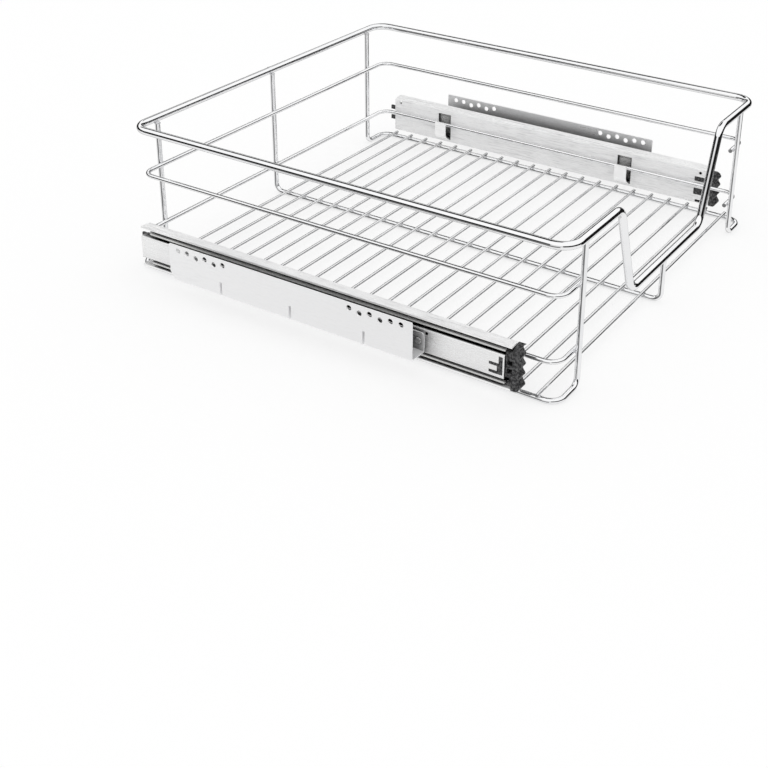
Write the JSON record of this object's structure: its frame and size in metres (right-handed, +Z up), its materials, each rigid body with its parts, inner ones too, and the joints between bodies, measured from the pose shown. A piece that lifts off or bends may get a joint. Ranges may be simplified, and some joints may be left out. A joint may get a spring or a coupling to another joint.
{
  "type": "pull-out wire basket",
  "caption": "Chrome wire basket with a low front dip, carried by two full-extension ball-bearing slides on bent cabinet brackets with screw holes.",
  "frame": {"origin": "on the floor plane of the wires, under the middle of the basket", "axes": "+X to the right, -Y to the front where the basket pulls out, +Z up"},
  "size_m": [0.464, 0.4453, 0.1375],
  "materials": {
    "chrome_wire": "polished",
    "slide_zinc": "bright zinc, finely brushed",
    "bracket_zinc": "bright zinc, satin",
    "ball_steel": "polished",
    "black_plastic": "matte"
  },
  "bodies": {
    "cabinet_side": {"bracket_right": "bracket_zinc", "bracket_rivets_right": "bracket_zinc", "cabinet_member_right": "slide_zinc", "hold_in_catch_right": "black_plastic", "bracket_left": "bracket_zinc", "bracket_rivets_left": "bracket_zinc", "cabinet_member_left": "slide_zinc", "hold_in_catch_left": "black_plastic"},
    "basket": {"rim": "chrome_wire", "upper_ring": "chrome_wire", "hook_ring": "chrome_wire", "support_wire_left": "chrome_wire", "support_wire_centre": "chrome_wire", "support_wire_right": "chrome_wire", "cross_wires": "chrome_wire", "basket_member_right": "slide_zinc", "front_bumper_right": "black_plastic", "basket_member_left": "slide_zinc", "front_bumper_left": "black_plastic"},
    "intermediate_right": {"intermediate_member_right": "slide_zinc", "intermediate_guide_right": "black_plastic"},
    "inner_cage_right": {"inner_ball_cage_right": "slide_zinc", "inner_balls_right": "ball_steel"},
    "outer_cage_right": {"outer_ball_cage_right": "slide_zinc", "outer_balls_right": "ball_steel"},
    "intermediate_left": {"intermediate_member_left": "slide_zinc", "intermediate_guide_left": "black_plastic"},
    "inner_cage_left": {"inner_ball_cage_left": "slide_zinc", "inner_balls_left": "ball_steel"},
    "outer_cage_left": {"outer_ball_cage_left": "slide_zinc", "outer_balls_left": "ball_steel"}
  },
  "joints": [
    {"name": "basket_slide", "type": "slide", "parent": "cabinet_side", "child": "basket", "axis": [0, -1, 0], "range_m": [0, 0.38]},
    {"name": "intermediate_right_slide", "type": "slide", "parent": "cabinet_side", "child": "intermediate_right", "axis": [0, -1, 0], "range_m": [0, 0.19]},
    {"name": "inner_cage_right_slide", "type": "slide", "parent": "cabinet_side", "child": "inner_cage_right", "axis": [0, -1, 0], "range_m": [0, 0.095]},
    {"name": "outer_cage_right_slide", "type": "slide", "parent": "cabinet_side", "child": "outer_cage_right", "axis": [0, -1, 0], "range_m": [0, 0.285]},
    {"name": "intermediate_left_slide", "type": "slide", "parent": "cabinet_side", "child": "intermediate_left", "axis": [0, -1, 0], "range_m": [0, 0.19]},
    {"name": "inner_cage_left_slide", "type": "slide", "parent": "cabinet_side", "child": "inner_cage_left", "axis": [0, -1, 0], "range_m": [0, 0.095]},
    {"name": "outer_cage_left_slide", "type": "slide", "parent": "cabinet_side", "child": "outer_cage_left", "axis": [0, -1, 0], "range_m": [0, 0.285]}
  ],
  "couplings": [
    {"joint": "intermediate_right_slide", "follows": "basket_slide", "ratio": 0.5},
    {"joint": "inner_cage_right_slide", "follows": "basket_slide", "ratio": 0.25},
    {"joint": "outer_cage_right_slide", "follows": "basket_slide", "ratio": 0.75},
    {"joint": "intermediate_left_slide", "follows": "basket_slide", "ratio": 0.5},
    {"joint": "inner_cage_left_slide", "follows": "basket_slide", "ratio": 0.25},
    {"joint": "outer_cage_left_slide", "follows": "basket_slide", "ratio": 0.75}
  ]
}
